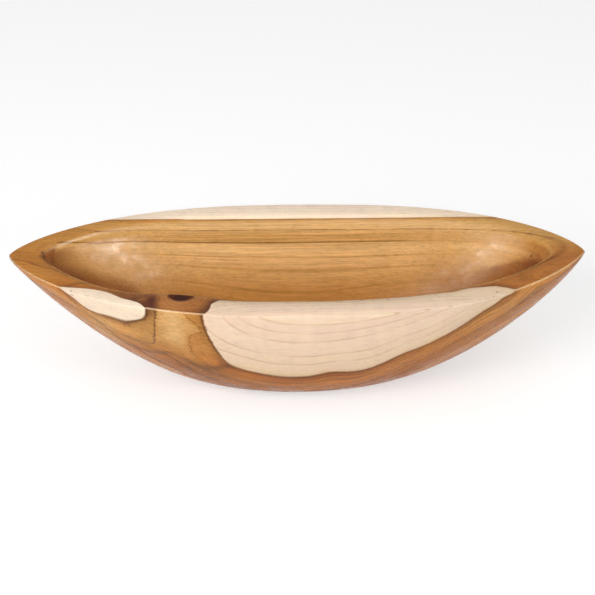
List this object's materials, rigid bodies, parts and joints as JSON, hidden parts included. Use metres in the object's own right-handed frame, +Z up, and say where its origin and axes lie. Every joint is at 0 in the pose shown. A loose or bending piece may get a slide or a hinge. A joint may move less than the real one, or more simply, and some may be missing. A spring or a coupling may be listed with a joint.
{
  "type": "dough bowl",
  "caption": "Long boat-shaped carved wooden dough bowl with pointed ends, a flat rim, a deep smooth hollow and a dead knot in the near rim.",
  "frame": {"origin": "on the table under the middle of the bowl, halfway between the tips", "axes": "+X along the bowl and its grain, from the left tip to the right tip; +Y from the near rim, which holds the knot, to the far rim; +Z up"},
  "size_m": [0.5, 0.2, 0.115],
  "materials": {
    "carved_wood": "satin oiled teak, brown heartwood with pale sapwood",
    "dead_knot": "satin, almost black dead wood"
  },
  "bodies": {
    "root": {"bowl": "carved_wood", "knot": "dead_knot"}
  },
  "joints": []
}
